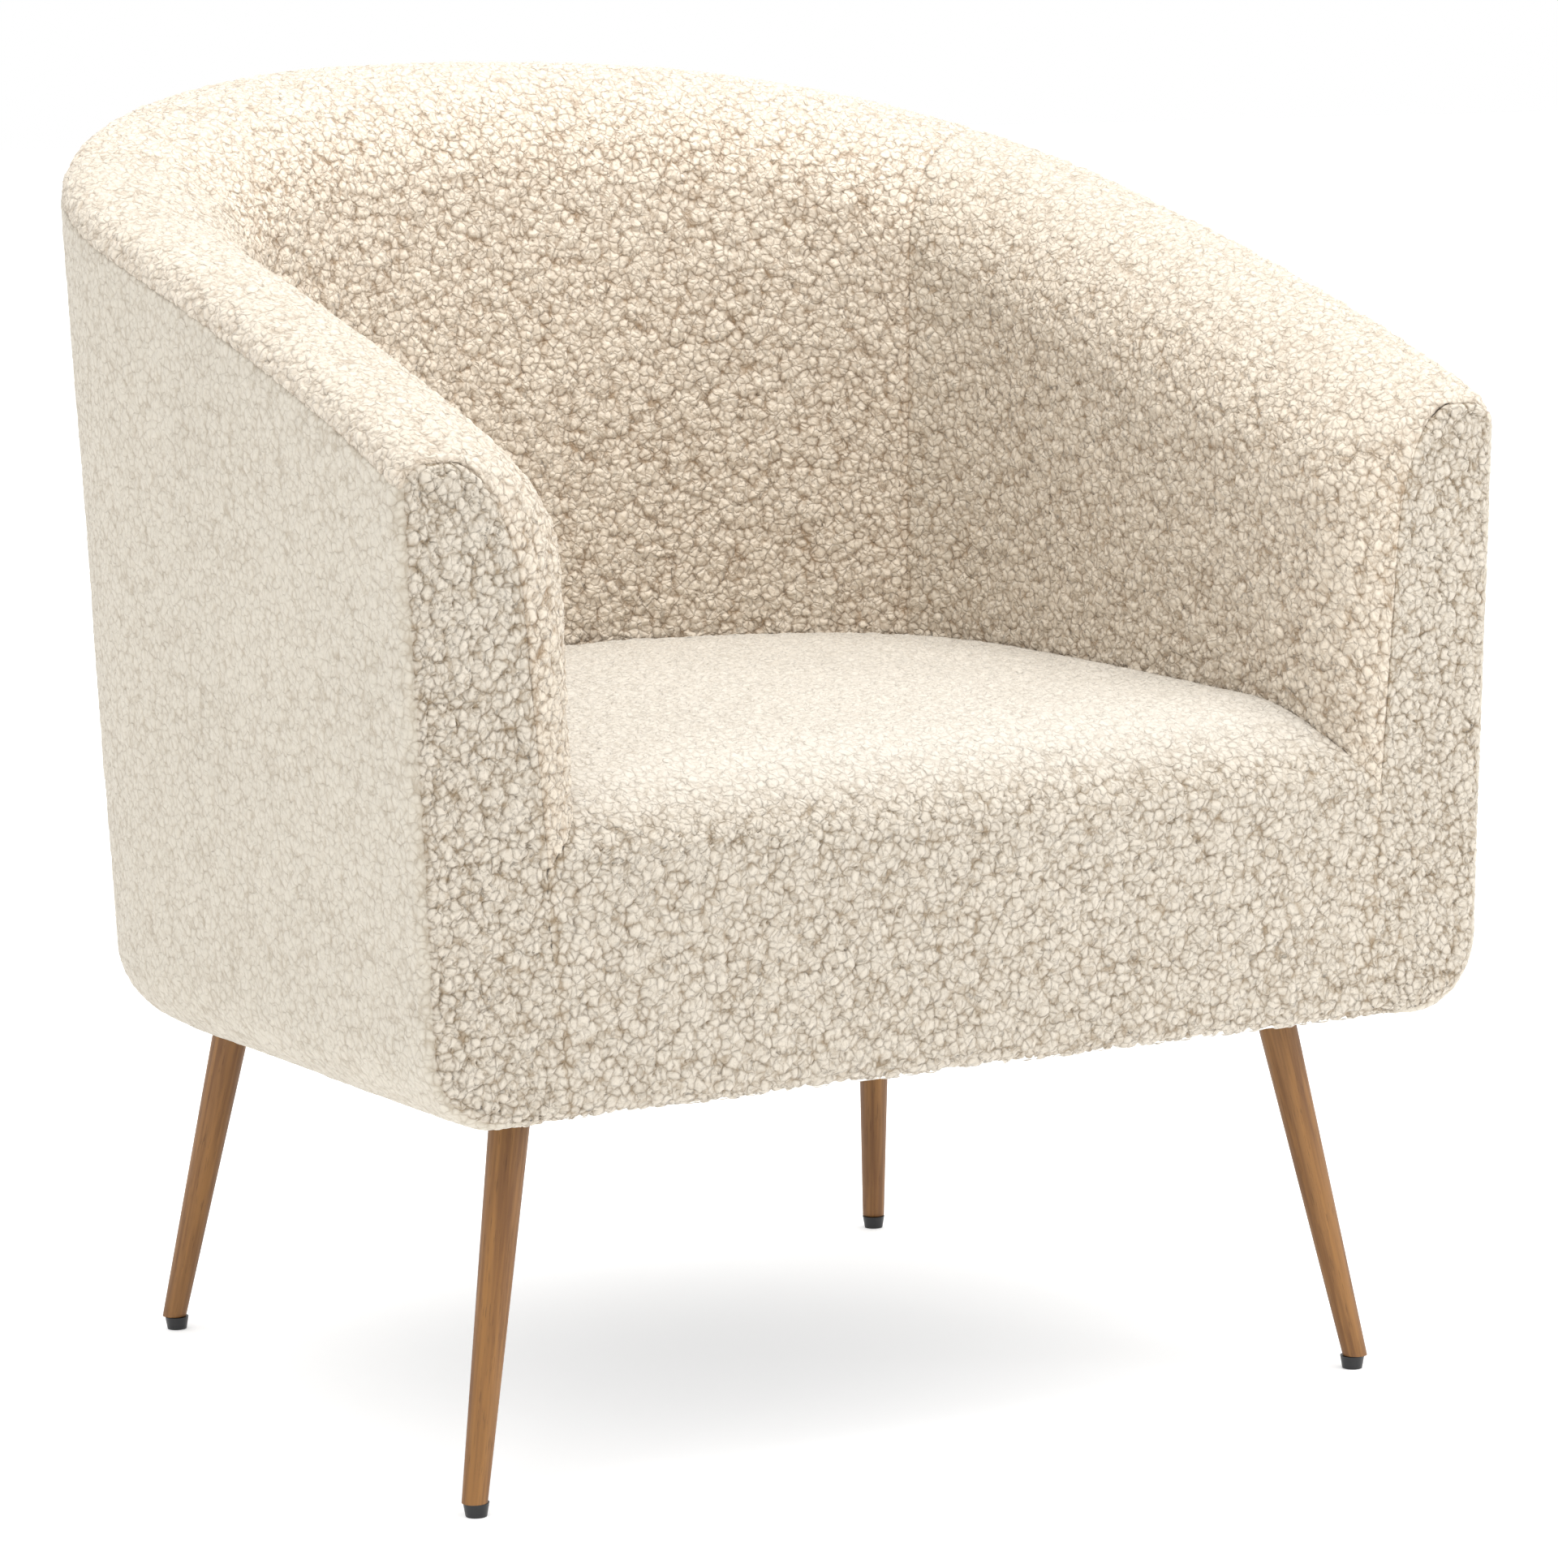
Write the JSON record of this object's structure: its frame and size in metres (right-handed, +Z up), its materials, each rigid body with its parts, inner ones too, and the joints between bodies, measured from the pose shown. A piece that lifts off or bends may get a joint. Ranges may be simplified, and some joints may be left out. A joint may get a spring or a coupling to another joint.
{
  "type": "upholstered armchair",
  "caption": "Barrel armchair in cream pile fabric with a tight seat, a back that sweeps down into the arms, and slim splayed round wooden legs.",
  "frame": {"origin": "on the floor, under the middle of the chair's outline", "axes": "+Z up, -Y the way a sitter faces, +X to the chair's right side as seen from the front"},
  "size_m": [0.715, 0.6358, 0.77],
  "materials": {
    "outer_pile_fabric": "matte",
    "inner_pile_fabric": "matte",
    "black_cloth": "matte",
    "wadding": "matte",
    "foam": "matte",
    "webbing": "matte",
    "liner_board": "matte",
    "felt": "matte",
    "spring_steel": "satin",
    "zinc_steel": "satin",
    "leg_wood": "satin",
    "glide_plastic": "matte",
    "plywood": "matte"
  },
  "bodies": {
    "root": {"outside_cover": "outer_pile_fabric", "inside_back_cover": "inner_pile_fabric", "inside_arm_cover_left": "inner_pile_fabric", "inside_arm_cover_right": "inner_pile_fabric", "arm_front_cover_left": "outer_pile_fabric", "arm_front_cover_right": "outer_pile_fabric", "seat_cover": "inner_pile_fabric", "dust_cover": "black_cloth", "seat_wadding": "wadding", "seat_foam": "foam", "seat_front_pad": "foam", "back_foam": "foam", "arm_foam_left": "foam", "arm_foam_right": "foam", "arm_front_pad_left": "foam", "arm_front_pad_right": "foam", "back_webbing": "webbing", "arm_webbing_left": "webbing", "arm_webbing_right": "webbing", "outer_liner": "liner_board", "seat_insulator": "felt", "seat_spring_1": "spring_steel", "seat_spring_2": "spring_steel", "seat_spring_3": "spring_steel", "seat_spring_4": "spring_steel", "seat_spring_5": "spring_steel", "spring_clips": "spring_steel", "spring_tie_wires": "spring_steel", "base_ring": "plywood", "front_rail": "plywood", "side_rail_left": "plywood", "side_rail_right": "plywood", "back_rail": "plywood", "rim_rail_board": "plywood", "arm_front_board_left": "plywood", "arm_front_board_right": "plywood", "arm_post_left": "plywood", "arm_post_right": "plywood", "back_post_left": "plywood", "back_post_right": "plywood", "back_stile_left": "plywood", "back_stile_right": "plywood", "leg_front_left": "leg_wood", "leg_front_right": "leg_wood", "leg_back_left": "leg_wood", "leg_back_right": "leg_wood", "glide_front_left": "glide_plastic", "glide_front_right": "glide_plastic", "glide_back_left": "glide_plastic", "glide_back_right": "glide_plastic", "leg_bolts": "zinc_steel", "leg_t_nuts": "zinc_steel"}
  },
  "joints": []
}
